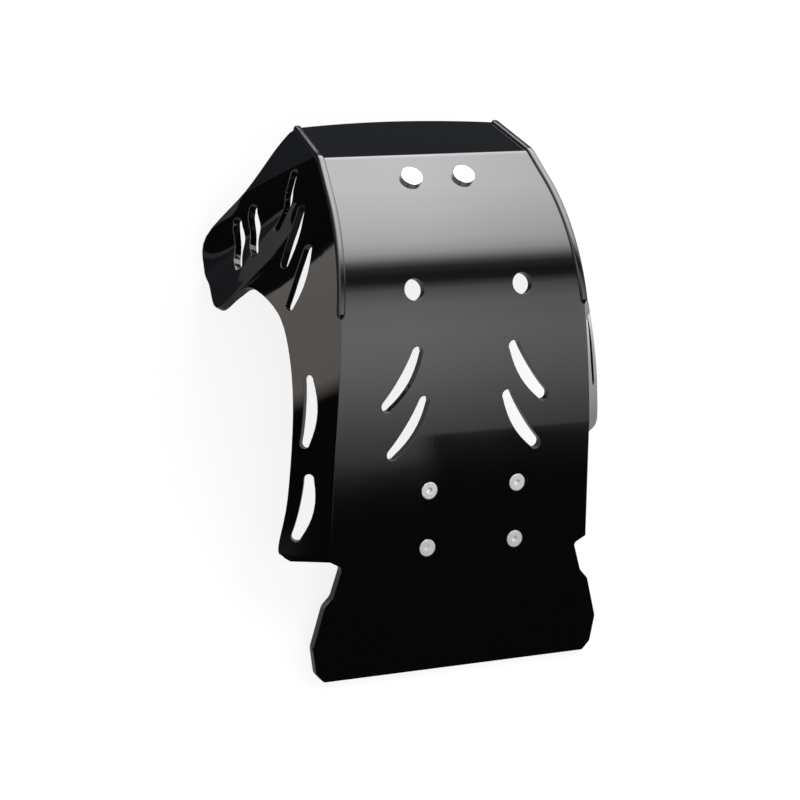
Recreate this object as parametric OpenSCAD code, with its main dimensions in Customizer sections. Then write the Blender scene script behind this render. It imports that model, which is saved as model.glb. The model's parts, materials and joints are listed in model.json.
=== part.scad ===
// Motorcycle skid plate: one folded and seam-welded plastic sheet with a flat belly,
// a swept front with a steep nose strip, two twisted side wings, and its fasteners.
// It lies outer face up, on the rear edge of its tail and on the tops of its two wings.
// Drawn in the bike's frame (x ahead, y to the bike's left, z up into the bike, zero at
// the middle of the four rear screws on the outer face), then laid down as one piece.

/* [Sheet] */
// Thickness of the plastic sheet
sheet_t = 6; // [4.5:0.5:7]
// Length of flat belly ahead of the screw centre
belly_len = 60; // [50:1:68]
// Radius of the gentle first sweep
sweep_r = 518; // [460:2:580]
// Slope that the first sweep ends at
sweep_angle = 10; // [9:0.25:11]
// Radius of the main bend
bend_r = 127.3; // [115:0.5:140]
// Slope that the main bend ends at
slope_angle = 50; // [47:0.5:53]
// Straight length of the front slope
slope_len = 27.7; // [22:0.5:34]
// Radius of the tight bend under the nose strip
nose_r = 13; // [10:0.5:18]
// Slope of the nose strip
nose_angle = 74; // [71:0.5:77]
// Length of the nose strip at its corners
nose_len = 49; // [43:0.5:54]
// Rise of the nose strip's top edge at its middle
nose_arch = 6.5; // [2:0.5:8]

/* [Panel widths] */
// Half width where the folds end behind the screws
half_rear = 101.1; // [96:0.5:106]
// Half width at the end of the flat belly
half_belly = 99.4; // [95:0.5:104]
// Half width at the end of the first sweep
half_sweep = 94.6; // [91:0.5:98]
// Half width at the end of the main bend
half_bend = 86.4; // [83:0.5:90]
// Half width under the nose strip
half_nose = 83.2; // [80:0.5:87]
// Half width at the top corners
half_top = 79.2; // [76:0.5:83]

/* [Tail] */
// Distance of the rear edge behind the screw centre
tail_len = 111; // [100:1:122]
// Half width of the neck behind the folds
tail_neck = 91.8; // [86:0.5:95]
// Half width of the shoulders behind the neck
tail_shoulder = 104.3; // [99:0.5:108]
// Widest half width of the tail
tail_half = 112.2; // [109:0.5:116]
// Half width at the rear corners
tail_corner = 103.1; // [98:0.5:107]
// Rounding of the tail's corners
tail_round = 7; // [3:0.5:9]

/* [Wings] */
// Distance of the long wing's rear end behind the screw centre
fold_rear = 24; // [20:0.5:27]
// Distance of the short wing's rear end ahead of the screw centre
short_fold_start = 53.5; // [50:0.5:60]
// Fold angle at the rear end
fold_angle_rear = 25.5; // [20:0.5:30]
// Fold angle at the foot of the arch
fold_angle_front = 56; // [52:0.5:60]
// Width of the long flange at its rear lobe
flange_lobe = 36; // [34:0.5:39]
// Width of the long flange beside the belly
flange_w = 31.3; // [29:0.5:34]
// Width of the long flange where it starts to rise
flange_rise = 38.5; // [36:0.5:41]
// Width of the short flange at its rear end
short_flange_rear = 15.5; // [14:0.5:18]
// Width of the short flange where it starts to rise
short_flange_rise = 26; // [24:0.5:28]
// How much closer the short wing stands to the centre plane
short_tuck = 3; // [0:0.5:5]
// How much further out the short wing's top edge stands
short_flare = 3.4; // [0:0.2:4]
// Foot of the arch: distance ahead
foot_x = 143; // [140:0.5:146]
// Foot of the arch: height
foot_z = 49; // [46:0.5:52]
// Foot of the arch: half width
foot_out = 123.3; // [121:0.5:126]
// Crown of the arch: distance ahead
arch_x = 155.6; // [153:0.5:159]
// Crown of the arch: height
arch_z = 77.4; // [74:0.5:80]
// Crown of the arch: half width
arch_out = 131; // [128:0.5:134]
// Tip of the hook: distance ahead
hook_x = 137; // [133:0.5:141]
// Tip of the hook: height
hook_z = 106; // [103:0.5:110]
// Tip of the hook: half width
hook_out = 146; // [143:0.5:149]
// Rear of the wing's top: distance ahead
crown_x = 157; // [154:0.5:161]
// Height of the wing's top
crown_z = 143.4; // [138:0.5:149]
// Length of the wing's top
crown_len = 24; // [20:0.5:28]
// Half width at the wing's top
crown_out = 140.5; // [138:0.5:144]
// Low point of the wing's top edge: distance ahead
brow_x = 215.5; // [211:0.5:220]
// Low point of the wing's top edge: height
brow_z = 124.7; // [121:0.5:129]
// Low point of the wing's top edge: half width
brow_out = 117.5; // [115:0.5:121]

/* [Weld and fold] */
// Radius of the weld bead on the seam
bead_r = 2.6; // [1.8:0.1:3.2]
// Radius left on the fold behind the bead
fold_r = 1; // [0.6:0.1:1.6]
// Distance along the seam at which the bead starts
bead_start = 146; // [142:0.5:149]

/* [Belly slots] */
// Slot width at its middle
slot_w = 10.8; // [9:0.1:13]
// Slot width at its ends
slot_end_w = 8.6; // [7:0.1:9]
// How far a belly slot bows to the rear
slot_bow = 2.6; // [1.5:0.1:4]
// Front end of the front slots ahead of the screws
slot_front_x = 119.2; // [117:0.2:123]
// Front end of the front slots from the centre plane
slot_front_y = 37.6; // [34:0.2:42]
// How far a slot's rear end lies behind its front end
slot_run_x = 35.8; // [30:0.2:38]
// How far a slot's rear end lies outside its front end
slot_run_y = 23.4; // [20:0.2:27]
// Step from the front slots to the rear slots
slot_step_x = 34.5; // [32:0.1:36.5]
// How much nearer the centre plane the rear slots lie
slot_step_y = 5; // [2:0.2:7]

/* [Wing slots] */
// Width of the wing slots at their middle
wslot_w = 10; // [8:0.1:11]
// Width of the wing slots at their ends
wslot_end_w = 7; // [5:0.1:7.5]
// Width of the narrow slot nearest the nose
brow_slot_w = 6.2; // [5.8:0.1:8]
// How far the flange slots bow towards the fold
flange_bow = 2.9; // [1:0.1:4.5]
// How far the two hook slots bow away from the seam
hook_bow = 3; // [1:0.1:4]
// How far the three slanting slots bow towards the seam
slant_bow = 1.6; // [0.5:0.1:2.6]

/* [Holes] */
// Diameter of the two open holes
port_d = 15.1; // [12:0.1:17]
// Distance of the open holes along the sheet
port_s = 162.9; // [159:0.5:167]
// Spacing of the open holes
port_span = 84; // [78:0.5:90]
// Offset of the open holes to the left
port_off = 3.7; // [0:0.1:6]

/* [Rear screws] */
// Spacing of the rear screws along the plate
screw_dx = 41.6; // [38:0.2:46]
// Spacing of the rear screws across the plate
screw_dy = 69.2; // [64:0.2:74]
// Offset of the rear screws to the left
screw_off = 8.3; // [4:0.1:11]
// Thread diameter of the rear screws
screw_d = 6; // [5:0.5:6.5]
// Head diameter of the rear screws
screw_head_d = 12; // [11:0.1:13]
// Width across the flats of their sockets
socket_af = 4; // [3:0.1:4.5]
// Depth of their sockets
socket_depth = 2.6; // [1.5:0.1:3]

/* [Front bolts] */
// Gap between the main bend and the strip under the front bolts
bolt_gap = 0.2; // [0:0.1:1]
// Spacing of the front bolts
bolt_span = 40.8; // [36:0.2:46]
// Thread diameter of the front bolts
bolt_d = 8; // [6:0.5:9]
// Head diameter of the front bolts
bolt_head_d = 16.2; // [15:0.1:17]
// Head height of the front bolts
bolt_head_h = 3; // [2.4:0.1:4]
// Chamfer on the rim of their heads
bolt_chamfer = 0.6; // [0.3:0.1:1]

/* [Inside hardware] */
// Thickness of the backing strips
strip_t = 3; // [2:0.5:4]
// Width of the backing strips
strip_w = 18; // [16:0.5:20]
// Thickness of a nut's flange
nut_flange_t = 1.2; // [1:0.1:1.6]
// Wall of a nut's flange outside its thread
nut_flange_wall = 4; // [3.4:0.1:4.5]
// Wall of a nut's hexagon at its flats
nut_hex_wall = 2.2; // [1.8:0.1:2.6]
// Height of a nut as a share of its thread
nut_share = 0.9; // [0.8:0.05:1]
// How far a thread stands out of its nut
thread_out = 1.6; // [0.5:0.1:3]
// Clearance round a thread in its holes
hole_clear = 0.3; // [0.15:0.05:0.5]
// Clearance of a seat or a thread in its nut
fit_clear = 0.1; // [0.05:0.05:0.2]

/* [Hidden] */
$fn = 48;
black = [0.03, 0.03, 0.035];
steel = [0.78, 0.79, 0.8];

// The side profile, walked by the distance s along the outer face from the screw centre.
sweep_len = sweep_r * sweep_angle * PI / 180;
bend_len = bend_r * (slope_angle - sweep_angle) * PI / 180;
tight_len = nose_r * (nose_angle - slope_angle) * PI / 180;
s_sweep = belly_len + sweep_len;
s_bend = s_sweep + bend_len;
s_slope = s_bend + slope_len;
s_nose = s_slope + tight_len;
s_top = s_nose + nose_len;
bolt_s = s_bend + bolt_gap + strip_w / 2;
function arc_xz(r, a, b) = r * [sin(b) - sin(a), cos(a) - cos(b)];
p_belly = [belly_len, 0];
p_sweep = p_belly + arc_xz(sweep_r, 0, sweep_angle);
p_bend = p_sweep + arc_xz(bend_r, sweep_angle, slope_angle);
p_slope = p_bend + slope_len * [cos(slope_angle), sin(slope_angle)];
p_nose = p_slope + arc_xz(nose_r, slope_angle, nose_angle);
function turn(s) =
    s <= belly_len ? 0 :
    s <= s_sweep ? (s - belly_len) / sweep_r * 180 / PI :
    s <= s_bend ? sweep_angle + (s - s_sweep) / bend_r * 180 / PI :
    s <= s_slope ? slope_angle :
    s <= s_nose ? slope_angle + (s - s_slope) / nose_r * 180 / PI : nose_angle;
function xz(s) =
    s <= belly_len ? [s, 0] :
    s <= s_sweep ? p_belly + arc_xz(sweep_r, 0, turn(s)) :
    s <= s_bend ? p_sweep + arc_xz(bend_r, sweep_angle, turn(s)) :
    s <= s_slope ? p_bend + (s - s_bend) * [cos(slope_angle), sin(slope_angle)] :
    s <= s_nose ? p_slope + arc_xz(nose_r, slope_angle, turn(s)) :
    p_nose + (s - s_nose) * [cos(nose_angle), sin(nose_angle)];
function half_w(s) = lookup(s, [[-fold_rear, half_rear], [belly_len, half_belly],
    [s_sweep, half_sweep], [s_bend, half_bend], [s_slope, half_nose], [s_top, half_top]]);
function inner(s) = xz(s) + sheet_t * [-sin(turn(s)), cos(turn(s))];

// Stops along the profile, closer where it turns faster.
function spread(a, b, n) = [for (i = [0:n - 1]) a + (b - a) * i / n];
stops = concat(spread(belly_len, s_sweep, 7), spread(s_sweep, s_bend, 16), [s_bend],
    spread(s_slope, s_nose, 6), [s_nose, s_top]);

function unit(v) = v / norm(v);

// Arc that rounds the corner b between a and c, as five steps.
function rounded(a, b, c, r) =
    let (u = unit(a - b), v = unit(c - b), half = acos(u * v) / 2, step = (180 - 2 * half) / 5,
        d = r / tan(half), m = b + unit(u + v) * r / sin(half), p = b + u * d - m, q = b + v * d - m)
    [for (i = [0:5]) m + r * unit(p * sin((5 - i) * step) + q * sin(i * step))];
function round_loop(pts, r) = [for (i = [0:len(pts) - 1])
    each (r[i] == 0 ? [pts[i]] :
        rounded(pts[(i + len(pts) - 1) % len(pts)], pts[i], pts[(i + 1) % len(pts)], r[i]))];

// Half of the tail's outline, from the neck to the rear corner.
function tail_x(share) = -fold_rear - share * (tail_len - fold_rear);
tail_pts = [[-fold_rear, half_rear], [tail_x(0.057), tail_neck],
    [tail_x(0.294), (tail_neck + tail_shoulder) / 2], [tail_x(0.371), tail_shoulder],
    [tail_x(0.708), tail_half], [tail_x(0.925), tail_corner + 0.65 * (tail_half - tail_corner)],
    [-tail_len, tail_corner]];
tail_arc = tail_round * [0, 0.4, 1, 0.8, 1, 0.6, 0.5];
edge_pts = [for (s = stops) [xz(s)[0], half_w(s)]];
plan = let (side = [for (i = [len(edge_pts) - 1:-1:0]) edge_pts[i]],
        all = concat(side, tail_pts),
        n = len(all),
        r = [for (i = [0:n - 1]) i < len(side) ? 0 : tail_arc[i - len(side)]],
        mirrored = [for (i = [n - 1:-1:0]) [all[i][0], -all[i][1]]],
        mr = [for (i = [n - 1:-1:0]) r[i]])
    round_loop(concat(all, mirrored), concat(r, mr));

module profile() polygon(concat(
    [[-tail_len - 1, 0]], [for (s = stops) xz(s)],
    [xz(s_top) + (nose_arch + 2) * [cos(nose_angle), sin(nose_angle)]],
    [inner(s_top) + (nose_arch + 2) * [cos(nose_angle), sin(nose_angle)]],
    [for (i = [len(stops) - 1:-1:0]) inner(stops[i])], [[-tail_len - 1, sheet_t]]));

// The nose's top edge, seen from the front: straight corners and a slow arch.
top_z = xz(s_top)[1];
module front_view() polygon(concat([[-tail_half - 5, -5], [tail_half + 5, -5], [tail_half + 5, top_z]],
    [for (i = [12:-1:-12]) [i / 12 * half_top, top_z + nose_arch * (1 - pow(i / 12, 2))]],
    [[-tail_half - 5, top_z]]));

module panel() intersection() {
    rotate([90, 0, 0]) linear_extrude(2 * tail_half + 20, center = true) profile();
    translate([0, 0, -5]) linear_extrude(top_z + 20) polygon(plan_wide());
    rotate([90, 0, 90]) translate([0, 0, -tail_len - 5])
        linear_extrude(2 * (tail_len + xz(s_top)[0])) front_view();
}
// The plan runs on past the nose's top, so that only the front view cuts that edge.
function plan_wide() = concat([[xz(s_top)[0] + 10, half_top]], plan, [[xz(s_top)[0] + 10, -half_top]]);

// A wing is a loft from the seam to its rim. Each rim point stands over a place on the seam.
function seam(s) = [xz(s)[0], half_w(s), xz(s)[1]];
function fold_at(s) = fold_angle_rear + (fold_angle_front - fold_angle_rear)
    * pow(max(0, s + fold_rear) / (foot_x + fold_rear), 1.25);
function flange(s, w) = seam(s) + w * [0, cos(fold_at(s)), sin(fold_at(s))];
function short_lobe(share) = short_fold_start + share * short_flange_rear;
function lobe(share) = -fold_rear + share * flange_lobe;
function early(share) = belly_len + share * sweep_len;
function top_corner(flare) = seam(s_top) + bead_r * [-1.35, 1.73, 0.92] + [0, 0.8 * flare, 0];

// A point between two others, at a share of the way, pushed ahead and up by shares of their distance.
function between(p, q, share, ahead, up) = p + share * (q - p) + norm(q - p) * [ahead, 0, up];
function front_rim(tuck, flare) = let (
        foot = [foot_x, foot_out - tuck, foot_z], arch = [arch_x, arch_out - tuck, arch_z],
        hook = [hook_x, hook_out - tuck, hook_z], crown = [crown_x, crown_out + flare, crown_z],
        brow = [brow_x, brow_out + flare, brow_z]) [
    [s_sweep, foot],
    [s_sweep + 0.557 * bend_len, arch],
    [s_sweep + 0.918 * bend_len, between(arch, hook, 0.5, 0.054, -0.011)],
    [s_bend + 0.13 * slope_len, hook],
    [s_bend + 0.35 * slope_len, between(hook, crown, 0.5, 0.047, 0.042)],
    [s_bend + 0.5 * slope_len, crown],
    [s_bend + 0.68 * slope_len, crown + crown_len * [1, -0.03, -0.033]],
    [s_nose + 0.075 * nose_len, brow],
    [s_nose + 0.55 * nose_len, between(brow, seam(s_top), 0.667, -0.007, 0.052)
        + [0, 0.046 * (brow_out - half_top) + 0.5 * flare, (top_z - brow_z) / 6]],
    [s_top, top_corner(flare)]];
long_rim = concat([
    [-fold_rear, flange(-fold_rear, 0.76 * flange_lobe)],
    [lobe(0.1), flange(lobe(0.1), 0.91 * flange_lobe)],
    [lobe(0.28), flange(lobe(0.28), flange_lobe)],
    [belly_len / 3, flange(belly_len / 3, flange_w)],
    [early(0.19), flange(early(0.19), flange_w + 0.5)],
    [early(0.63), flange(early(0.63), flange_rise)]], front_rim(0, 0));
short_rim = concat([
    [short_fold_start, flange(short_lobe(0.06), 0.4 * short_flange_rear)],
    [short_lobe(0.26), flange(short_lobe(0.26), 0.88 * short_flange_rear)],
    [short_lobe(0.9), flange(short_lobe(0.9), 1.1 * short_flange_rear)],
    [early(0.387), flange(early(0.387), (short_flange_rear + short_flange_rise) / 2 + 1.5)],
    [early(0.708), flange(early(0.708), short_flange_rise)]], front_rim(short_tuck, short_flare));

// Smooth curve through the knots of a list, at a place t counted in knots.
function smooth(k, t) = let (n = len(k) - 1, i = min(n - 1, max(0, floor(t))), f = t - i,
        a = k[max(0, i - 1)], b = k[i], c = k[i + 1], d = k[min(n, i + 2)])
    0.5 * (2 * b + (c - a) * f + (2 * a - 5 * b + 4 * c - d) * f * f
        + (3 * b - a - 3 * c + d) * f * f * f);
function knot_s(rim, t) = smooth([for (k = rim) k[0]], t);
function rim_at(rim, t) = smooth([for (k = rim) k[1]], t);
function on_wing(rim, t, v) = let (b = seam(knot_s(rim, t))) b + v * (rim_at(rim, t) - b);
function inward(rim, t, v) = let (n = len(rim) - 1, e = 0.4)
    unit(cross(on_wing(rim, min(n, t + e), 0.5 * v) - on_wing(rim, max(0, t - e), 0.5 * v),
        on_wing(rim, t, 1) - on_wing(rim, t, 0)));

// One cut through the wing: the bead's arc and the outer face, then the inner face.
bead_arc = [-10, 35, 80, 125];
face_steps = 3;
knot_steps = 5;
function bead_at(s) = fold_r + (bead_r - fold_r) * sqrt(max(0, min(1, (s - bead_start) / bead_r)));
function sink_at(s) = 0.9 - 0.55 * max(0, min(1, (s - bead_start) / bead_r));
function wing_cut(rim, t) =
    let (s = knot_s(rim, t), c = seam(s), r = rim_at(rim, t), far = norm(r - c),
        d = (r - c) / far, n = inward(rim, t, 0.5 * min(1, 8 / far)),
        out = [sin(turn(s)), 0, -cos(turn(s))], m = unit(out - n),
        e = unit(cross(cross(m, [0, -1, 0] - d), m)),
        q = bead_at(s), o = c - sink_at(s) * q * m, v0 = min(0.5, 1.25 * q / far),
        root = c - [0, 1.6 * q + 0.6, 0] - 1.2 * out,
        start = c - [0, 1.6 * q + 1.5, 0] - (sheet_t - 1) * out,
        first = c + v0 * far * d + sheet_t * inward(rim, t, v0))
    concat([root], [for (a = bead_arc) o + q * (cos(a) * e + sin(a) * m)],
        [for (i = [0:face_steps]) on_wing(rim, t, v0 + (1 - v0) * i / face_steps)],
        [for (i = [face_steps:-1:0]) let (v = v0 + (1 - v0) * i / face_steps)
            on_wing(rim, t, v) + sheet_t * inward(rim, t, v)],
        [for (i = [len(bead_arc):-1:0]) start + (first - start) * i / (len(bead_arc) + 1)]);
function wing_stops(rim) = let (n = len(rim) - 1, steps = [for (i = [0:knot_steps * n]) i / knot_steps],
        near = [for (i = [0:32 * n]) if (abs(knot_s(rim, i / 32) - bead_start - 1.2) < 1.9) i / 32])
    [for (t = steps) if (abs(knot_s(rim, t) - bead_start - 1.2) >= 2.4 && knot_s(rim, t) < bead_start) t,
        each near, for (t = steps) if (abs(knot_s(rim, t) - bead_start - 1.2) >= 2.4
            && knot_s(rim, t) > bead_start) t];
module wing(rim, side) {
    ts = wing_stops(rim);
    m = 2 * (len(bead_arc) + face_steps + 2);
    k = len(ts);
    pts = [for (t = ts) each [for (p = wing_cut(rim, t)) [p[0], side * p[1], p[2]]]];
    skin = [for (i = [0:k - 2]) for (j = [0:m - 1]) let (a = i * m + j, b = i * m + (j + 1) % m)
        each [[a, b, b + m], [a, b + m, a + m]]];
    ends = [for (j = [0:m / 2 - 2]) let (o = (k - 1) * m, a = j, b = j + 1, c = m - 2 - j, d = m - 1 - j)
        each [[a, c, b], [a, d, c], [o + a, o + b, o + c], [o + a, o + c, o + d]]];
    faces = concat(skin, ends);
    polyhedron(pts, side < 0 ? faces : [for (f = faces) [f[2], f[1], f[0]]], convexity = 6);
}

// Crescent slot along x from 0 to its length: narrow round ends, wide middle, bowed to one side.
function crescent(length, w, end_w, bow) = let (n = 8, r = end_w / 2,
        middle = function (u) 4 * bow * u * (1 - u), half = function (u) r + (w - end_w) / 2 * sin(180 * u))
    concat([for (i = [0:n]) [length * i / n, middle(i / n) + half(i / n)]],
        [for (a = [60:-30:-60]) [length + r * cos(a), r * sin(a)]],
        [for (i = [n:-1:0]) [length * i / n, middle(i / n) - half(i / n)]],
        [for (a = [240:-30:120]) [r * cos(a), r * sin(a)]]);

// Belly slots: two on each side, fanned out to the rear.
module belly_slots() for (side = [-1, 1]) for (i = [0, 1]) {
    run = [-slot_run_x, slot_run_y];
    translate([slot_front_x - i * slot_step_x, side * (slot_front_y - i * slot_step_y), -2 * sheet_t])
        rotate([0, 0, atan2(side * run[1], run[0])]) linear_extrude(8 * sheet_t)
            polygon([for (p = crescent(norm(run), slot_w, slot_end_w, slot_bow)) [p[0], side * p[1]]]);
}

// A slot through a wing from one place on it to another, square to the sheet.
module wing_slot(rim, side, a, b, w, end_w, bow) {
    p = on_wing(rim, a[0], a[1]);
    q = on_wing(rim, b[0], b[1]);
    z = inward(rim, (a[0] + b[0]) / 2, (a[1] + b[1]) / 2);
    x = unit(q - p);
    y = unit(cross(z, x));
    zz = cross(x, y);
    o = p - 2 * sheet_t * zz;
    mirror([0, side > 0 ? 0 : 1, 0])
        multmatrix([[x[0], y[0], zz[0], o[0]], [x[1], y[1], zz[1], o[1]], [x[2], y[2], zz[2], o[2]]])
            linear_extrude(5 * sheet_t) polygon(crescent(norm(q - p), w, end_w, bow));
}
// Places of the wing slots: knots along the rim and shares of the way from the seam to it.
hook_slots = [[[11.86, 0.712], [9.69, 0.753]], [[12.05, 0.595], [9.63, 0.613]]];
slant_slots = [[[9.48, 0.218], [7.2, 0.58]], [[7.18, 0.322], [6.17, 0.766]]];
brow_slot = [[12.68, 0.288], [9.76, 0.414]];
flange_slots = [[[4.58, 0.646], [3.67, 0.709]], [[3.27, 0.56], [2.3, 0.689]]];
short_flange_slot = [[4.3, 0.42], [2.75, 0.52]];
module front_slots(rim, side, back) {
    for (k = hook_slots) wing_slot(rim, side, k[0] - back, k[1] - back, wslot_w, wslot_end_w, -hook_bow);
    for (k = slant_slots) wing_slot(rim, side, k[0] - back, k[1] - back, wslot_w, wslot_end_w, slant_bow);
    wing_slot(rim, side, brow_slot[0] - back, brow_slot[1] - back, brow_slot_w, wslot_end_w - 1, slant_bow);
}

// A frame on the sheet at distance s and offset y: its z axis points into the bike.
module on_panel(s, y) translate([xz(s)[0], y, xz(s)[1]]) rotate([0, -turn(s), 0]) children();
screw_places = [for (i = [1, -1]) for (j = [1, -1]) [i * screw_dx / 2, screw_off + j * screw_dy / 2]];
module drill(d, h) translate([0, 0, -h]) cylinder(h = 2 * h, d = d);

// Countersunk head: a cone at 45 degrees to the thread under a thin land.
land = 0.3;
cone_h = (screw_head_d - screw_d) / 2;
module head_shape(gap) {
    translate([0, 0, -1]) cylinder(h = land + 1, d = screw_head_d + 2 * gap);
    translate([0, 0, land]) cylinder(h = cone_h, d1 = screw_head_d + 2 * gap, d2 = screw_d + 2 * gap);
}

module plate_holes() {
    for (p = screw_places) on_panel(p[0], p[1]) {
        head_shape(fit_clear);
        drill(screw_d + 2 * hole_clear, 2 * sheet_t);
    }
    for (j = [1, -1]) {
        on_panel(port_s, port_off + j * port_span / 2) drill(port_d, 2 * sheet_t);
        on_panel(bolt_s, j * bolt_span / 2) drill(bolt_d + 2 * hole_clear, 2 * sheet_t);
    }
}

// Laid down: turned outer face up, leant until the tail and the wing tops touch the floor,
// and moved until the middle of its footprint is at zero.
rest_edge = [for (rim = [long_rim, short_rim]) for (t = wing_stops(rim))
    each [on_wing(rim, t, 1), on_wing(rim, t, 1) + sheet_t * inward(rim, t, 1)]];
rest_angle = max([for (p = rest_edge) atan2(p[2] - sheet_t, p[0] + tail_len)]);
rest_nose = (xz(s_top)[0] + nose_arch / tan(nose_angle)) * cos(rest_angle)
    + (top_z + nose_arch) * sin(rest_angle);
rest_mid = (rest_nose - tail_len * cos(rest_angle)) / 2;
rest_lift = tail_len * sin(rest_angle) + sheet_t * cos(rest_angle);
module lay() translate([-rest_mid, -short_tuck / 2, rest_lift])
    rotate([0, -rest_angle, 0]) rotate([180, 0, 0]) children();

module skid_plate() color(black) lay() difference() {
    union() {
        panel();
        wing(long_rim, -1);
        wing(short_rim, 1);
    }
    belly_slots();
    front_slots(long_rim, -1, [0, 0]);
    front_slots(short_rim, 1, [1, 0]);
    for (k = flange_slots) wing_slot(long_rim, -1, k[0], k[1], wslot_w, wslot_end_w, flange_bow);
    wing_slot(short_rim, 1, short_flange_slot[0], short_flange_slot[1], wslot_w - 3, wslot_end_w - 2, 1);
    plate_holes();
}

// Fasteners, each drawn at zero on the outer face with its thread towards the bike.
screw_len = sheet_t + strip_t + nut_share * screw_d + thread_out;
bolt_len = sheet_t + strip_t + nut_share * bolt_d + thread_out;
module screw() difference() {
    union() {
        intersection() {
            head_shape(0);
            cylinder(h = screw_len, d = screw_head_d + 1);
        }
        translate([0, 0, land + cone_h - 0.5]) cylinder(h = screw_len - land - cone_h + 0.5, d = screw_d);
    }
    translate([0, 0, -1]) cylinder(h = socket_depth + 1, d = socket_af / cos(30), $fn = 6);
}
module bolt() {
    translate([0, 0, -bolt_head_h])
        cylinder(h = bolt_chamfer, d1 = bolt_head_d - 2 * bolt_chamfer, d2 = bolt_head_d);
    translate([0, 0, bolt_chamfer - bolt_head_h]) cylinder(h = bolt_head_h - bolt_chamfer, d = bolt_head_d);
    translate([0, 0, -0.5]) cylinder(h = bolt_len + 0.5, d = bolt_d);
}
module nut(d) translate([0, 0, sheet_t + strip_t]) difference() {
    union() {
        cylinder(h = nut_flange_t, d = d + 2 * nut_flange_wall);
        translate([0, 0, nut_flange_t / 2])
            cylinder(h = nut_share * d - nut_flange_t / 2, d = (d + 2 * nut_hex_wall) / cos(30), $fn = 6);
    }
    translate([0, 0, -1]) cylinder(h = d + 2, d = d + 2 * fit_clear);
}

// A backing strip with round ends, spread under two threads, on the sheet's inner face.
module strip(span, d) translate([0, 0, sheet_t]) difference() {
    union() {
        translate([-span / 2, -strip_w / 2, 0]) cube([span, strip_w, strip_t]);
        for (i = [1, -1]) translate([i * span / 2, 0, 0]) cylinder(h = strip_t, d = strip_w);
    }
    for (i = [1, -1]) translate([i * span / 2, 0, -1]) cylinder(h = strip_t + 2, d = d + 2 * hole_clear);
}

// Every fastener at its place on the laid plate.
module at_screw(i) lay() on_panel(screw_places[i][0], screw_places[i][1]) children();
module at_bolt(j) lay() on_panel(bolt_s, j * bolt_span / 2) children();
module rear_screw_1() color(steel) at_screw(0) screw();
module rear_screw_2() color(steel) at_screw(1) screw();
module rear_screw_3() color(steel) at_screw(2) screw();
module rear_screw_4() color(steel) at_screw(3) screw();
module rear_strip_left() color(steel) lay() on_panel(0, screw_places[0][1]) strip(screw_dx, screw_d);
module rear_strip_right() color(steel) lay() on_panel(0, screw_places[1][1]) strip(screw_dx, screw_d);
module rear_nut_1() color(steel) at_screw(0) nut(screw_d);
module rear_nut_2() color(steel) at_screw(1) nut(screw_d);
module rear_nut_3() color(steel) at_screw(2) nut(screw_d);
module rear_nut_4() color(steel) at_screw(3) nut(screw_d);
module front_bolt_left() color(steel) at_bolt(1) bolt();
module front_bolt_right() color(steel) at_bolt(-1) bolt();
module front_strip() color(steel) lay() on_panel(bolt_s, 0) rotate([0, 0, 90]) strip(bolt_span, bolt_d);
module front_nut_left() color(steel) at_bolt(1) nut(bolt_d);
module front_nut_right() color(steel) at_bolt(-1) nut(bolt_d);

skid_plate();
rear_screw_1();
rear_screw_2();
rear_screw_3();
rear_screw_4();
rear_strip_left();
rear_strip_right();
rear_nut_1();
rear_nut_2();
rear_nut_3();
rear_nut_4();
front_bolt_left();
front_bolt_right();
front_strip();
front_nut_left();
front_nut_right();
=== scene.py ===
import json
import math

import bmesh
import bpy
import numpy as np
from mathutils import Matrix, Vector
from mathutils.kdtree import KDTree


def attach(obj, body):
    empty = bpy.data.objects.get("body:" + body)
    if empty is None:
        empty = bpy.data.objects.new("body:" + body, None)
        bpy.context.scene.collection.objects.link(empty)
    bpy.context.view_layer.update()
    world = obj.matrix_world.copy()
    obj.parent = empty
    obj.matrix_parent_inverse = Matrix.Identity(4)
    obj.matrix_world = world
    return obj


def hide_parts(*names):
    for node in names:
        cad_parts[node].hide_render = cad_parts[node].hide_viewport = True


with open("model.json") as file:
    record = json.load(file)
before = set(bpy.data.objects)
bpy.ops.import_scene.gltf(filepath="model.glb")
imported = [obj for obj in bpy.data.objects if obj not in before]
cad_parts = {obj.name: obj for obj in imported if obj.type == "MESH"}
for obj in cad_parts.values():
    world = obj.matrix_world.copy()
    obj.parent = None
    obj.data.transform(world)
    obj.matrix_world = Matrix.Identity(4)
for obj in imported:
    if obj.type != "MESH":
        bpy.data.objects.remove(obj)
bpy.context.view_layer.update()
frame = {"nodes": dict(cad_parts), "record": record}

# Sizes of the plate in millimetres and its turns, as in the CAD source
SHEET = 6.0
BELLY, SWEEP_R, BEND_R, SLOPE, NOSE_R, NOSE = 60.0, 518.0, 127.3, 27.7, 13.0, 49.0
SWEEP_A, SLOPE_A, NOSE_A = np.radians([10.0, 50.0, 74.0])
SWEEP, BEND = SWEEP_R * SWEEP_A, BEND_R * (SLOPE_A - SWEEP_A)
S_SWEEP = BELLY + SWEEP
S_BEND = S_SWEEP + BEND
S_SLOPE = S_BEND + SLOPE
S_NOSE = S_SLOPE + NOSE_R * (NOSE_A - SLOPE_A)
S_TOP = S_NOSE + NOSE
FOLD_REAR, TAIL = 24.0, 111.0
BEAD_START, BEAD_R, FOLD_R = 146.0, 2.6, 1.0
FOOT_X = 143.0
# The flange's angle in degrees at its rear end, and what it gains up to the arch's foot
FLANGE_A, FLANGE_GAIN = 25.5, 30.5

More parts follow.
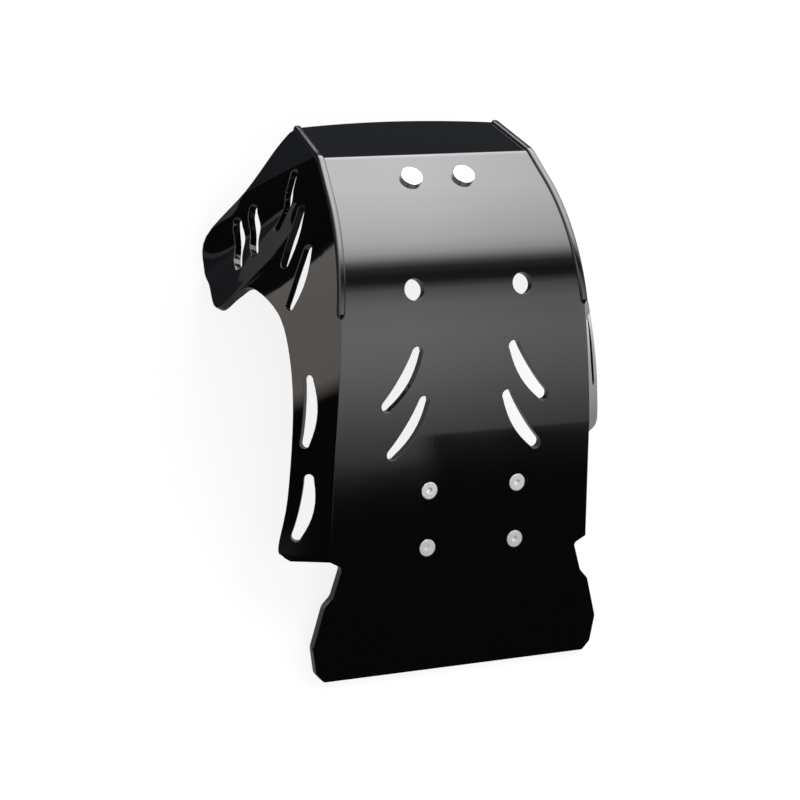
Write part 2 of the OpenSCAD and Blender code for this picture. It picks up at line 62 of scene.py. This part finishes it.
# The side profile, walked by the distance s along the outer face
WALK = np.linspace(-TAIL - 5, S_TOP + 20, 9001)
WALK_TURN = np.interp(WALK, [BELLY, S_SWEEP, S_BEND, S_SLOPE, S_NOSE],
                      [0, SWEEP_A, SLOPE_A, SLOPE_A, NOSE_A])
STEP = WALK[1] - WALK[0]
HALFWAY = 0.5 * (WALK_TURN[1:] + WALK_TURN[:-1])
WALK_X = WALK[0] + np.concatenate([[0], np.cumsum(np.cos(HALFWAY)) * STEP])
WALK_Z = np.concatenate([[0], np.cumsum(np.sin(HALFWAY)) * STEP])
WALK_OUT = np.stack([np.sin(WALK_TURN), 0 * WALK_TURN, -np.cos(WALK_TURN)], -1)


def seam(s):
    """The corner between panel and wing, at half the panel's width from the middle."""
    half = np.interp(s, [-FOLD_REAR, BELLY, S_SWEEP, S_BEND, S_SLOPE, S_TOP],
                     [101.1, 99.4, 94.6, 86.4, 83.2, 79.2])
    return np.stack([np.interp(s, WALK, WALK_X), half, np.interp(s, WALK, WALK_Z)], -1)


def flange(s, width):
    """A point of the rim beside the belly, where the wing is a flange that steepens forwards."""
    on_the_way = max(0, s + FOLD_REAR) / (FOOT_X + FOLD_REAR)
    fold = math.radians(FLANGE_A + FLANGE_GAIN * on_the_way ** 1.25)
    return seam(s) + width * np.array([0, math.cos(fold), math.sin(fold)])


def early(share):
    """The place on the seam at a share of the sweep."""
    return BELLY + share * SWEEP


def between(p, q, share, ahead, up):
    """A point on the way from p to q, moved off the chord by parts of its length."""
    return p + share * (q - p) + np.linalg.norm(q - p) * np.array([ahead, 0, up])


def front_rim(tuck, flare):
    """The rim from the foot of the arch to the top corner: places on the seam, and points."""
    aside = np.array([0, 1, 0])
    foot, arch, hook = np.array([[FOOT_X, 123.3, 49], [155.6, 131, 77.4], [137, 146, 106]]) - tuck * aside
    crown, brow = np.array([[157, 140.5, 143.4], [215.5, 117.5, 124.7]]) + flare * aside
    top = seam(S_TOP)
    shoulder = between(brow, top, 0.667, -0.007, 0.052) + [
        0, 0.046 * (brow[1] - flare - top[1]) + 0.5 * flare, (top[2] - brow[2]) / 6]
    return [(S_SWEEP, foot), (S_SWEEP + 0.557 * BEND, arch),
            (S_SWEEP + 0.918 * BEND, between(arch, hook, 0.5, 0.054, -0.011)),
            (S_BEND + 0.13 * SLOPE, hook),
            (S_BEND + 0.35 * SLOPE, between(hook, crown, 0.5, 0.047, 0.042)),
            (S_BEND + 0.5 * SLOPE, crown),
            (S_BEND + 0.68 * SLOPE, crown + [24, -0.72, -0.79]),
            (S_NOSE + 0.075 * NOSE, brow), (S_NOSE + 0.55 * NOSE, shoulder),
            (S_TOP, top + [-3.51, 4.5 + 0.8 * flare, 2.39])]


LONG_RIM = [(s, flange(s, w)) for s, w in [(-24, 27.36), (-20.5, 32.76), (-14, 36), (20, 31.3),
            (early(0.19), 31.8), (early(0.63), 38.5)]] + front_rim(0, 0)
SHORT_RIM = [(53.5, flange(54.43, 6.2))] + [(s, flange(s, w)) for s, w in [
    (57.53, 13.64), (67.45, 17.05), (early(0.387), 22.25), (early(0.708), 26)]] + front_rim(3, 3.4)


def smooth(knots, t):
    """Catmull-Rom through the knots, as in the CAD source."""
    k = np.asarray(knots, float)
    n = len(k) - 1
    t = np.atleast_1d(t)
    i = np.clip(np.floor(t).astype(int), 0, n - 1)
    f = (t - i)[:, None] if k.ndim > 1 else t - i
    a, b, c, d = k[np.maximum(0, i - 1)], k[i], k[i + 1], k[np.minimum(n, i + 2)]
    return 0.5 * (2 * b + (c - a) * f + (2 * a - 5 * b + 4 * c - d) * f * f
                  + (3 * b - a - 3 * c + d) * f ** 3)


def unit(v):
    return v / np.linalg.norm(v, axis=-1, keepdims=True)


class Wing:
    """The sheet between the seam and a rim: t counts the rim's knots, v goes from seam to rim."""
    # The wing's course at a knot is taken over this part of a knot on both sides
    REACH = 0.4

    def __init__(self, rim, side):
        self.base = [k[0] for k in rim]
        self.rim = [k[1] for k in rim]
        self.knots = len(rim) - 1
        self.side = np.array([1, side, 1])

    def on(self, t, v):
        """The point of the outer face."""
        v = np.broadcast_to(v, np.shape(t))[..., None]
        b = seam(smooth(self.base, t))
        return b + v * (smooth(self.rim, t) - b)

    def inward(self, t, v):
        """The direction through the sheet, from the outer face to the inner one."""
        w = 0.5 * np.broadcast_to(v, np.shape(t))
        before, after = np.maximum(0, t - self.REACH), np.minimum(self.knots, t + self.REACH)
        return unit(np.cross(self.on(after, w) - self.on(before, w), self.on(t, 1.0) - self.on(t, 0.0)))


WINGS = {"right": Wing(LONG_RIM, -1), "left": Wing(SHORT_RIM, 1)}

# From the bike's frame, in which the plate is drawn, to the row's frame, where it lies down.
# The mount on the belly's outer face, 30 mm ahead of the screws' centre, gives both.
MOUNT = next(m for m in frame["record"]["mounts"] if m["name"] == "belly_outside")
LEAN = math.atan2(-MOUNT["axis"][0], MOUNT["axis"][2])
LAY = np.array([[math.cos(LEAN), 0, math.sin(LEAN)], [0, -1, 0], [math.sin(LEAN), 0, -math.cos(LEAN)]])
LAY_OFF = 1000 * np.array(MOUNT["pos_m"]) - LAY @ [30, 0, 0]


def lay(p):
    return (np.asarray(p, float) @ LAY.T + LAY_OFF) / 1000


def lay_dir(d):
    return np.asarray(d, float) @ LAY.T


# Shader nodes. Where a value is wanted, it is another node's output or a constant.
def new_material(name):
    mat = bpy.data.materials.new(name)
    mat.use_nodes = True
    nodes, links = mat.node_tree.nodes, mat.node_tree.links
    return mat, nodes, links, nodes["Principled BSDF"]


def add(nodes, kind, **values):
    node = nodes.new(kind)
    for key, value in values.items():
        setattr(node, key, value)
    return node


def feed(links, socket, value):
    if isinstance(value, bpy.types.NodeSocket):
        links.new(value, socket)
    else:
        socket.default_value = value


def calc(nodes, links, operation, *values):
    node = add(nodes, "ShaderNodeMath", operation=operation)
    for socket, value in zip(node.inputs, values):
        feed(links, socket, value)
    return node.outputs[0]


def blend(nodes, links, kind, factor, low, high):
    """Between two levels (FLOAT) or two colours (RGBA)."""
    node = add(nodes, "ShaderNodeMix", data_type=kind)
    first, result = (2, 0) if kind == "FLOAT" else (6, 2)
    for k, value in ((0, factor), (first, low), (first + 1, high)):
        feed(links, node.inputs[k], value)
    return node.outputs[result]


def ranged(nodes, links, fac, lo, hi, to_lo, to_hi):
    node = add(nodes, "ShaderNodeMapRange")
    for key, value in (("From Min", lo), ("From Max", hi), ("To Min", to_lo), ("To Max", to_hi)):
        node.inputs[key].default_value = value
    links.new(fac, node.inputs["Value"])
    return node.outputs["Result"]


def noise(nodes, links, coord, scale, detail, stretch=None):
    if stretch:
        mapping = add(nodes, "ShaderNodeMapping")
        mapping.inputs["Scale"].default_value = stretch
        links.new(coord, mapping.inputs["Vector"])
        coord = mapping.outputs["Vector"]
    tex = add(nodes, "ShaderNodeTexNoise")
    tex.inputs["Scale"].default_value = scale
    tex.inputs["Detail"].default_value = detail
    links.new(coord, tex.inputs["Vector"])
    return tex.outputs["Fac"]


def bump(nodes, links, height, normal, strength, distance):
    node = add(nodes, "ShaderNodeBump")
    links.new(height, node.inputs["Height"])
    links.new(normal, node.inputs["Normal"])
    node.inputs["Strength"].default_value = strength
    node.inputs["Distance"].default_value = distance
    return node.outputs["Normal"]


def rounded_edges(nodes, links, radius):
    """The rounded normal, and how far it agrees with the flat one: under 1 near an edge."""
    bevel = add(nodes, "ShaderNodeBevel", samples=6)
    bevel.inputs["Radius"].default_value = radius
    dot = add(nodes, "ShaderNodeVectorMath", operation="DOT_PRODUCT")
    links.new(bevel.outputs["Normal"], dot.inputs[0])
    links.new(add(nodes, "ShaderNodeNewGeometry").outputs["Normal"], dot.inputs[1])
    return bevel.outputs["Normal"], dot.outputs["Value"]


# Materials
def plastic(name, rough):
    """Gloss black, with dulled edges, slow waves of the sheet and fine scratches along it."""
    mat, nodes, links, bsdf = new_material(name)
    coord = add(nodes, "ShaderNodeTexCoord").outputs["Object"]
    rounded, agrees = rounded_edges(nodes, links, 0.0007)
    near_edge = ranged(nodes, links, agrees, 0.985, 0.80, 0.0, 1.0)
    patch = ranged(nodes, links, noise(nodes, links, coord, 90.0, 6.0), 0.42, 0.68, 0.0, 1.0)
    wear = calc(nodes, links, "MULTIPLY", near_edge, patch)
    color = blend(nodes, links, "RGBA", wear, (0.0018, 0.0018, 0.002, 1), (0.02, 0.02, 0.021, 1))
    cloud = noise(nodes, links, coord, 14.0, 5.0)
    haze = ranged(nodes, links, cloud, 0.3, 0.75, rough - 0.02, rough + 0.03)
    waves = bump(nodes, links, noise(nodes, links, coord, 9.0, 2.0), rounded, 0.22, 0.0006)
    fine = noise(nodes, links, coord, 160.0, 3.0, stretch=(0.12, 1.0, 0.12))
    scratch = ranged(nodes, links, fine, 0.60, 0.72, 0.0, 1.0)
    links.new(color, bsdf.inputs["Base Color"])
    links.new(calc(nodes, links, "MULTIPLY_ADD", wear, 0.25, haze), bsdf.inputs["Roughness"])
    links.new(bump(nodes, links, scratch, waves, 0.12, 0.00002), bsdf.inputs["Normal"])
    bsdf.inputs["IOR"].default_value = 1.5
    return mat


def steel(name, grey, rough):
    """Bright metal with a fine grain and brighter edges."""
    mat, nodes, links, bsdf = new_material(name)
    coord = add(nodes, "ShaderNodeTexCoord").outputs["Object"]
    rounded, agrees = rounded_edges(nodes, links, 0.0003)
    near_edge = ranged(nodes, links, agrees, 0.99, 0.85, 0.0, 1.0)
    grain = noise(nodes, links, coord, 2200.0, 3.0)
    body = blend(nodes, links, "RGBA", grain, (*(0.75 * g for g in grey), 1), (*grey, 1))
    color = blend(nodes, links, "RGBA", near_edge, body, (0.92, 0.92, 0.93, 1))
    fine = noise(nodes, links, coord, 2600.0, 2.0)
    links.new(color, bsdf.inputs["Base Color"])
    links.new(ranged(nodes, links, grain, 0.3, 0.7, rough - 0.03, rough + 0.04), bsdf.inputs["Roughness"])
    links.new(bump(nodes, links, fine, rounded, 0.1, 0.00001), bsdf.inputs["Normal"])
    bsdf.inputs["Metallic"].default_value = 1.0
    return mat


GLOSS = plastic("gloss_black_sheet", 0.04)
WELD = plastic("gloss_black_weld", 0.1)
STEEL = steel("plated_steel", (0.75, 0.76, 0.77), 0.4)
BOLT = steel("bright_steel", (0.85, 0.85, 0.86), 0.2)
STRIP = steel("backing_steel", (0.56, 0.57, 0.58), 0.36)


def new_object(name, mesh, mat):
    obj = bpy.data.objects.new(name, mesh)
    bpy.context.scene.collection.objects.link(obj)
    mesh.materials.append(mat)
    return obj


# The plate: the CAD solid with the true normals of its curved faces.
# A face of the mesh belongs to a panel or wing when it is this near, in millimetres,
# and its flat normal agrees this well with the true one.
PANEL_NEAR, PANEL_AGREES = 0.45, 0.97
WING_NEAR, WING_AGREES = 1.6, 0.9
SAME_FACE = 0.7


def wing_normals():
    """Points and outward normals on the four wing faces, in the row frame."""
    points, normals = [], []
    for wing in WINGS.values():
        t, v = np.meshgrid(np.linspace(0, wing.knots, 40 * wing.knots + 1), np.linspace(0, 1, 81))
        t, v = t.ravel(), v.ravel()
        outer, inner = wing.on(t, v), wing.inward(t, v)
        points += [lay(outer * wing.side), lay((outer + SHEET * inner) * wing.side)]
        normals += [lay_dir(-inner * wing.side), lay_dir(inner * wing.side)]
    return np.concatenate(points), np.concatenate(normals)


def on_profile(points, depth):
    """For points in the bike's frame: the nearest place of the walk and the distance to it.
    The walk is taken on the outer face or, with a depth, on the inner one."""
    line_x = WALK_X - depth * np.sin(WALK_TURN)
    line_z = WALK_Z + depth * np.cos(WALK_TURN)
    best = np.empty(len(points), int)
    gap = np.empty(len(points))
    for a in range(0, len(points), 500):
        part = points[a:a + 500]
        d = np.hypot(part[:, 0, None] - line_x, part[:, 2, None] - line_z)
        best[a:a + 500] = d.argmin(1)
        gap[a:a + 500] = d.min(1)
    return best, gap


def make_plate():
    bm = bmesh.new()
    bm.from_mesh(frame["nodes"]["skid_plate"].data)
    bmesh.ops.remove_doubles(bm, verts=bm.verts, dist=2e-6)
    bmesh.ops.triangulate(bm, faces=bm.faces)
    mesh = bpy.data.meshes.new("plate")
    bm.to_mesh(mesh)
    bm.free()
    mesh.shade_smooth()
    mesh.set_sharp_from_angle(angle=math.radians(28))
    cloud, cloud_n = wing_normals()
    tree = KDTree(len(cloud))
    for i, p in enumerate(cloud):
        tree.insert(p, i)
    tree.balance()
    co = np.array([v.co for v in mesh.vertices])
    flat = np.array([p.normal for p in mesh.polygons])
    mid = np.array([p.center for p in mesh.polygons])
    # Back in the bike's frame, a panel face is known by its distance from the side profile
    bike_mid = (mid * 1000 - LAY_OFF) @ LAY
    bike_co = (co * 1000 - LAY_OFF) @ LAY
    out_n = lay_dir(WALK_OUT)
    panels = []
    for depth, sign in ((0.0, 1), (SHEET, -1)):
        face_at, face_gap = on_profile(bike_mid, depth)
        corner_at, _ = on_profile(bike_co, depth)
        panels.append((face_gap, sign * out_n[face_at], sign * out_n[corner_at]))
    # A normal of zero leaves the corner as the smooth shading has it
    corner_n = np.zeros((len(mesh.loops), 3))
    for poly in mesh.polygons:
        k = poly.index
        panel = next((p for p in panels if p[0][k] < PANEL_NEAR and flat[k] @ p[1][k] > PANEL_AGREES), None)
        if panel:
            for j in poly.loop_indices:
                corner_n[j] = panel[2][mesh.loops[j].vertex_index]
            continue
        _, i, dist = tree.find(mid[k])
        if 1000 * dist > WING_NEAR or flat[k] @ cloud_n[i] < WING_AGREES:
            continue
        for j in poly.loop_indices:
            around = [cloud_n[m] for _, m, _ in tree.find_n(co[mesh.loops[j].vertex_index], 6)]
            same_face = [n for n in around if n @ cloud_n[i] > SAME_FACE]
            if same_face:
                corner_n[j] = unit(np.mean(same_face, 0))
    mesh.normals_split_custom_set([tuple(n) for n in corner_n])
    plate = new_object("plate", mesh, GLOSS)
    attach(plate, "root")
    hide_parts("skid_plate")


# The weld beads: closed bars over the plain fillets of the CAD solid, in millimetres
BEAD_STEP = 0.4
BEAD_ROUND = np.radians(np.linspace(-35, 205, 29))
BEAD_COVER = 1.03
RIPPLE_LENGTH = 1.6
# The two rounded ends: the distance from the bead's end and the share of the full section there
REAR_END = [(-0.9, 0.4), (-0.7, 0.7), (-0.4, 0.9)]
TOP_END = [(0.5, 0.9), (0.9, 0.6)]


def bead_ring(wing, s, t, share):
    """One section of the bead, a square with round corners, at the seam's place s and the wing's t."""
    at = min(s, S_TOP)
    turn = np.interp(at, WALK, WALK_TURN)
    along = np.array([math.cos(turn), 0, math.sin(turn)])
    out = np.array([math.sin(turn), 0, -math.cos(turn)])
    corner = seam(at) + (s - at) * along
    reach = wing.on([t], 1.0)[0] - wing.on([t], 0.0)[0]
    far = np.linalg.norm(reach)
    inward = wing.inward(np.array([t]), 0.5 * min(1, 8 / far))[0]
    up = unit(out - inward)
    across = unit(np.cross(np.cross(up, np.array([0, -1, 0]) - reach / far), up))
    grown = min(1, max(0, (s - BEAD_START) / BEAD_R))
    radius = FOLD_R + (BEAD_R - FOLD_R) * math.sqrt(grown)
    sunk = (0.9 - 0.55 * grown) * radius
    centre = corner - sunk * up
    aside = unit(across - (across @ out) * out)
    ripple = np.interp(s, [S_SLOPE, S_NOSE, S_NOSE + 6], [0.035, 0.1, 0.2])
    ring = []
    for a in BEAD_ROUND:
        u = math.cos(a) * across + math.sin(a) * up
        square = (abs(u @ out) ** 3 + abs(u @ aside) ** 3) ** (-1 / 3)
        phase = 2 * math.pi * (s + 0.5 * abs(a - BEAD_ROUND.mean())) / RIPPLE_LENGTH
        size = BEAD_COVER * radius * square + ripple * (0.5 + 0.5 * math.sin(phase))
        ring.append(lay((centre + share * size * u) * wing.side))
    return ring


def make_bead(name, wing):
    stops = [(BEAD_START + gap, share) for gap, share in REAR_END]
    stops += [(s, 1.0) for s in np.arange(BEAD_START, S_TOP, BEAD_STEP)]
    stops += [(S_TOP + gap, share) for gap, share in TOP_END]
    knots = np.linspace(0, wing.knots, 4001)
    places = smooth(wing.base, knots)
    points = [p for s, share in stops for p in bead_ring(wing, s, np.interp(s, places, knots), share)]
    m, k = len(BEAD_ROUND), len(stops)
    faces = [(i * m + j, i * m + (j + 1) % m, (i + 1) * m + (j + 1) % m, (i + 1) * m + j)
             for i in range(k - 1) for j in range(m)]
    faces += [tuple(range(m))[::-1], tuple(range((k - 1) * m, k * m))]
    mesh = bpy.data.meshes.new(name)
    mesh.from_pydata([tuple(p) for p in points], [], faces)
    bm = bmesh.new()
    bm.from_mesh(mesh)
    bmesh.ops.recalc_face_normals(bm, faces=bm.faces)
    bm.to_mesh(mesh)
    bm.free()
    mesh.shade_smooth()
    mesh.set_sharp_from_angle(angle=math.radians(50))
    bead = new_object(name, mesh, WELD)
    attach(bead, "root")


make_plate()
for side_name, side_wing in WINGS.items():
    make_bead("weld_bead_" + side_name, side_wing)

for name, node in frame["nodes"].items():
    if name != "skid_plate":
        node.data.materials.clear()
        node.data.materials.append(STRIP if "strip" in name else BOLT if "front_bolt" in name else STEEL)


# Stage: pale floor, white surroundings and plain studio lights
def stage(obj, gloss_only):
    for ray in ("camera", "diffuse", "transmission", "shadow", "volume_scatter"):
        setattr(obj, "visible_" + ray, not gloss_only)


def card(name, outline, height, mat, gloss_only=True):
    mesh = bpy.data.meshes.new(name)
    mesh.from_pydata([(x, y, height) for x, y in outline], [], [list(range(len(outline)))])
    stage(new_object(name, mesh, mat), gloss_only)


def background_rays(nodes, links):
    """1 for the rays that show the white background: from the camera, a gloss or a clear body."""
    ray = add(nodes, "ShaderNodeLightPath").outputs
    seen = calc(nodes, links, "MAXIMUM", ray["Is Camera Ray"], ray["Is Glossy Ray"])
    return calc(nodes, links, "MAXIMUM", seen, ray["Is Transmission Ray"])


def matt(name, grey, rough):
    mat, nodes, links, bsdf = new_material(name)
    bsdf.inputs["Base Color"].default_value = (grey, grey, grey, 1)
    bsdf.inputs["Roughness"].default_value = rough
    bsdf.inputs["Specular IOR Level"].default_value = 0.0
    return mat, nodes, links, bsdf


def floor_material():
    """Matt and pale for the soft shadow, and near white where it is the background."""
    mat, nodes, links, bsdf = matt("pale_floor", 0.82, 0.9)
    glow = add(nodes, "ShaderNodeEmission")
    mix = add(nodes, "ShaderNodeMixShader")
    links.new(calc(nodes, links, "MULTIPLY", background_rays(nodes, links), 0.86), mix.inputs[0])
    links.new(bsdf.outputs[0], mix.inputs[1])
    links.new(glow.outputs[0], mix.inputs[2])
    links.new(mix.outputs[0], nodes["Material Output"].inputs["Surface"])
    return mat


def glowing(name, color, strength):
    mat, nodes, links, bsdf = new_material(name)
    nodes.remove(bsdf)
    glow = add(nodes, "ShaderNodeEmission")
    glow.inputs["Color"].default_value = (*color, 1)
    glow.inputs["Strength"].default_value = strength
    links.new(glow.outputs[0], nodes["Material Output"].inputs["Surface"])
    mat.cycles.emission_sampling = "NONE"
    return mat, nodes, links, glow


def light_pool():
    """The floor's own light as the gloss sees it: dim beside the object, bright far out."""
    mat, nodes, links, glow = glowing("floor_light", (1.0, 0.95, 0.9), 1.0)
    length = add(nodes, "ShaderNodeVectorMath", operation="LENGTH")
    links.new(add(nodes, "ShaderNodeTexCoord").outputs["Object"], length.inputs[0])
    far = length.outputs["Value"]
    near_level = ranged(nodes, links, far, 0.25, 0.6, 0.42, 0.9)
    far_level = ranged(nodes, links, far, 0.6, 1.6, 0.0, 1.2)
    links.new(calc(nodes, links, "ADD", near_level, far_level), glow.inputs["Strength"])
    return mat


def disc(radius):
    return [(radius * math.cos(a), radius * math.sin(a)) for a in np.linspace(0, 2 * math.pi, 97)[:-1]]


def rectangle(x0, y0, x1, y1):
    return [(x0, y0), (x1, y0), (x1, y1), (x0, y1)]


FLOOR_R, POOL_R, DOME_R = 3.2, 3.104, 3.0
FLAG_SIDE = [(-0.02, 0.23), (0.15, 0.23), (0.20, 0.255), (0.235, 0.285), (0.25, 0.262), (0.25, 0.191),
             (0.90, 0.191), (0.90, 1.6), (-0.02, 1.6)]
# Flag cards seen only in the gloss: a dim glowing card and a black one, painted dark reflections of the
# floor
DIM_GLOW_REFLECTION = glowing("dim_glow_reflection_card", (0.80, 0.86, 1.0), 0.128)[0]
BLACK = matt("black_card", 0.01, 1.0)[0]
# A glowing card seen only in the gloss: a painted bright reflection on the floor beside the object
GLOWING_REFLECTION = glowing("glowing_reflection_card", (1.0, 0.98, 0.96), 1.3)[0]

# The floor and what lies just over it. A card's height stands after its outline, in metres.
card("floor", disc(FLOOR_R), 0.0, floor_material(), gloss_only=False)
card("light_pool", disc(POOL_R), 0.0005, light_pool())
# A dim glowing card seen only in the gloss: a painted dark reflection of the floor ahead
card("flag_front", rectangle(0.10, -0.60, 0.90, 0.19), 0.001, DIM_GLOW_REFLECTION)
# A black card seen only in the gloss: a painted dark reflection of the floor beside the object
card("flag_side", FLAG_SIDE, 0.001, BLACK)
# The glowing card: a painted bright reflection, seen in the gloss alone
card("glowing_reflection_card", rectangle(-0.15, -0.20, 0.07, -0.50), 0.0008, GLOWING_REFLECTION)

# Levels of the studio's walls by the angle over the floor, in degrees from dead ahead to behind
DOME_LEVELS = [
    (0, 8.6), (24, 8.9), (45, 9.3), (57, 8.9), (64, 8.4), (68.7, 7.6), (73.3, 6.1), (76, 4.3), (80, 1.4),
    (83, 0.4), (88, 0.12), (92, 0.18), (95, 0.75), (97.5, 1.4), (101.4, 1.85), (106, 2.3), (110.5, 2.45),
    (113, 2.6), (118.2, 2.35), (123.3, 1.9), (128.4, 1.35), (131, 1.12), (133.4, 0.9), (134, 0.4),
    (134.4, 0.12), (135, 0.03), (136, 0.0), (180, 0.0)]


def level_curve(nodes, links, angle):
    """The level at an angle: a tenth of DOME_LEVELS, because a curve goes no higher than 1."""
    ramp = add(nodes, "ShaderNodeFloatCurve")
    links.new(ranged(nodes, links, angle, 0, math.pi, 0, 1), ramp.inputs["Value"])
    curve = ramp.mapping.curves[0]
    while len(curve.points) < len(DOME_LEVELS):
        curve.points.new(0.5, 0.5)
    for point, (degrees, level) in zip(curve.points, DOME_LEVELS):
        point.location = (degrees / 180, level / 10)
        point.handle_type = "VECTOR"
    ramp.mapping.update()
    return ramp.outputs[0]


def studio_walls():
    """One large softbox ahead, a weaker one behind, a warm wall at the side and black between them."""
    mat, nodes, links, glow = glowing("studio_walls", (1.0, 1.0, 1.0), 1.0)
    xyz = add(nodes, "ShaderNodeSeparateXYZ")
    norm = add(nodes, "ShaderNodeVectorMath", operation="NORMALIZE")
    links.new(add(nodes, "ShaderNodeTexCoord").outputs["Object"], norm.inputs[0])
    links.new(norm.outputs[0], xyz.inputs[0])
    x, y, z = (xyz.outputs[k] for k in "XYZ")
    angle = calc(nodes, links, "ARCTAN2", z, x)
    side = ranged(nodes, links, y, 0.15, 0.55, 0, 1)
    side_level = ranged(nodes, links, x, -0.25, -0.17, 0, 0.2)
    level = blend(nodes, links, "FLOAT", side, level_curve(nodes, links, angle), side_level)
    across = calc(nodes, links, "ADD", ranged(nodes, links, y, -0.85, -0.55, 3.0, 8.8),
                  ranged(nodes, links, y, -0.49, -0.41, 0, 2.2))
    level = calc(nodes, links, "MULTIPLY", level, across)
    # On one side the far end of the softbox behind is cut off sooner
    cut = ranged(nodes, links, angle, math.radians(132.5), math.radians(133.2), 1, 0.12)
    cut_side = ranged(nodes, links, y, -0.424, -0.411, 1, 0)
    level = calc(nodes, links, "MULTIPLY", level, blend(nodes, links, "FLOAT", cut_side, 1.0, cut))
    links.new(level, glow.inputs["Strength"])
    links.new(blend(nodes, links, "RGBA", side, (1, 1, 1, 1), (0.96, 0.86, 0.80, 1)), glow.inputs["Color"])
    return mat


bm = bmesh.new()
bmesh.ops.create_uvsphere(bm, u_segments=64, v_segments=32, radius=DOME_R)
bmesh.ops.bisect_plane(bm, geom=bm.verts[:] + bm.edges[:] + bm.faces[:], plane_co=(0, 0, 0.002),
                       plane_no=(0, 0, 1), clear_inner=True)
dome_mesh = bpy.data.meshes.new("studio_dome")
bm.to_mesh(dome_mesh)
bm.free()
stage(new_object("studio_dome", dome_mesh, studio_walls()), gloss_only=True)

world = bpy.data.worlds.new("studio")
bpy.context.scene.world = world
world.use_nodes = True
wn, wl = world.node_tree.nodes, world.node_tree.links
back = wn["Background"]
back.inputs["Color"].default_value = (1, 1, 1, 1)
wl.new(ranged(wn, wl, background_rays(wn, wl), 0, 1, 0.5, 1.0), back.inputs["Strength"])


def softbox(name, azimuth, elevation, distance, size, watts):
    lamp = bpy.data.lights.new(name, "AREA")
    lamp.shape = "SQUARE"
    lamp.size = size
    lamp.energy = watts
    obj = bpy.data.objects.new(name, lamp)
    bpy.context.scene.collection.objects.link(obj)
    a, e = math.radians(azimuth), math.radians(elevation)
    place = Vector((math.cos(a) * math.cos(e), math.sin(a) * math.cos(e), math.sin(e))) * distance
    obj.location = place
    obj.rotation_euler = (-place).to_track_quat("-Z", "Y").to_euler()
    obj.visible_camera = False
    obj.visible_glossy = False


softbox("softbox_front", azimuth=-42, elevation=48, distance=2.4, size=1.6, watts=52)
softbox("softbox_rear", azimuth=150, elevation=60, distance=2.4, size=1.4, watts=26)

# Camera, as fitted to the photograph: its place and its axes in the bike's frame
CAM_AT = [502.44, -817.41, -1558.26]
CAM_RIGHT, CAM_DOWN, CAM_AHEAD = [
    [0.03338, 0.90048, -0.43362], [-0.97205, -0.07162, -0.22357], [-0.23238, 0.42896, 0.87292]]
cam_data = bpy.data.cameras.new("camera")
cam_data.sensor_width = 36.0
cam_data.lens = 117.0
camera = bpy.data.objects.new("camera", cam_data)
bpy.context.scene.collection.objects.link(camera)
right, down, ahead = (Vector(lay_dir(axis)) for axis in (CAM_RIGHT, CAM_DOWN, CAM_AHEAD))
camera.matrix_world = Matrix.Translation(lay(CAM_AT)) @ Matrix((right, -down, -ahead)).transposed().to_4x4()
bpy.context.scene.camera = camera

bpy.context.scene.view_settings.view_transform = "Standard"
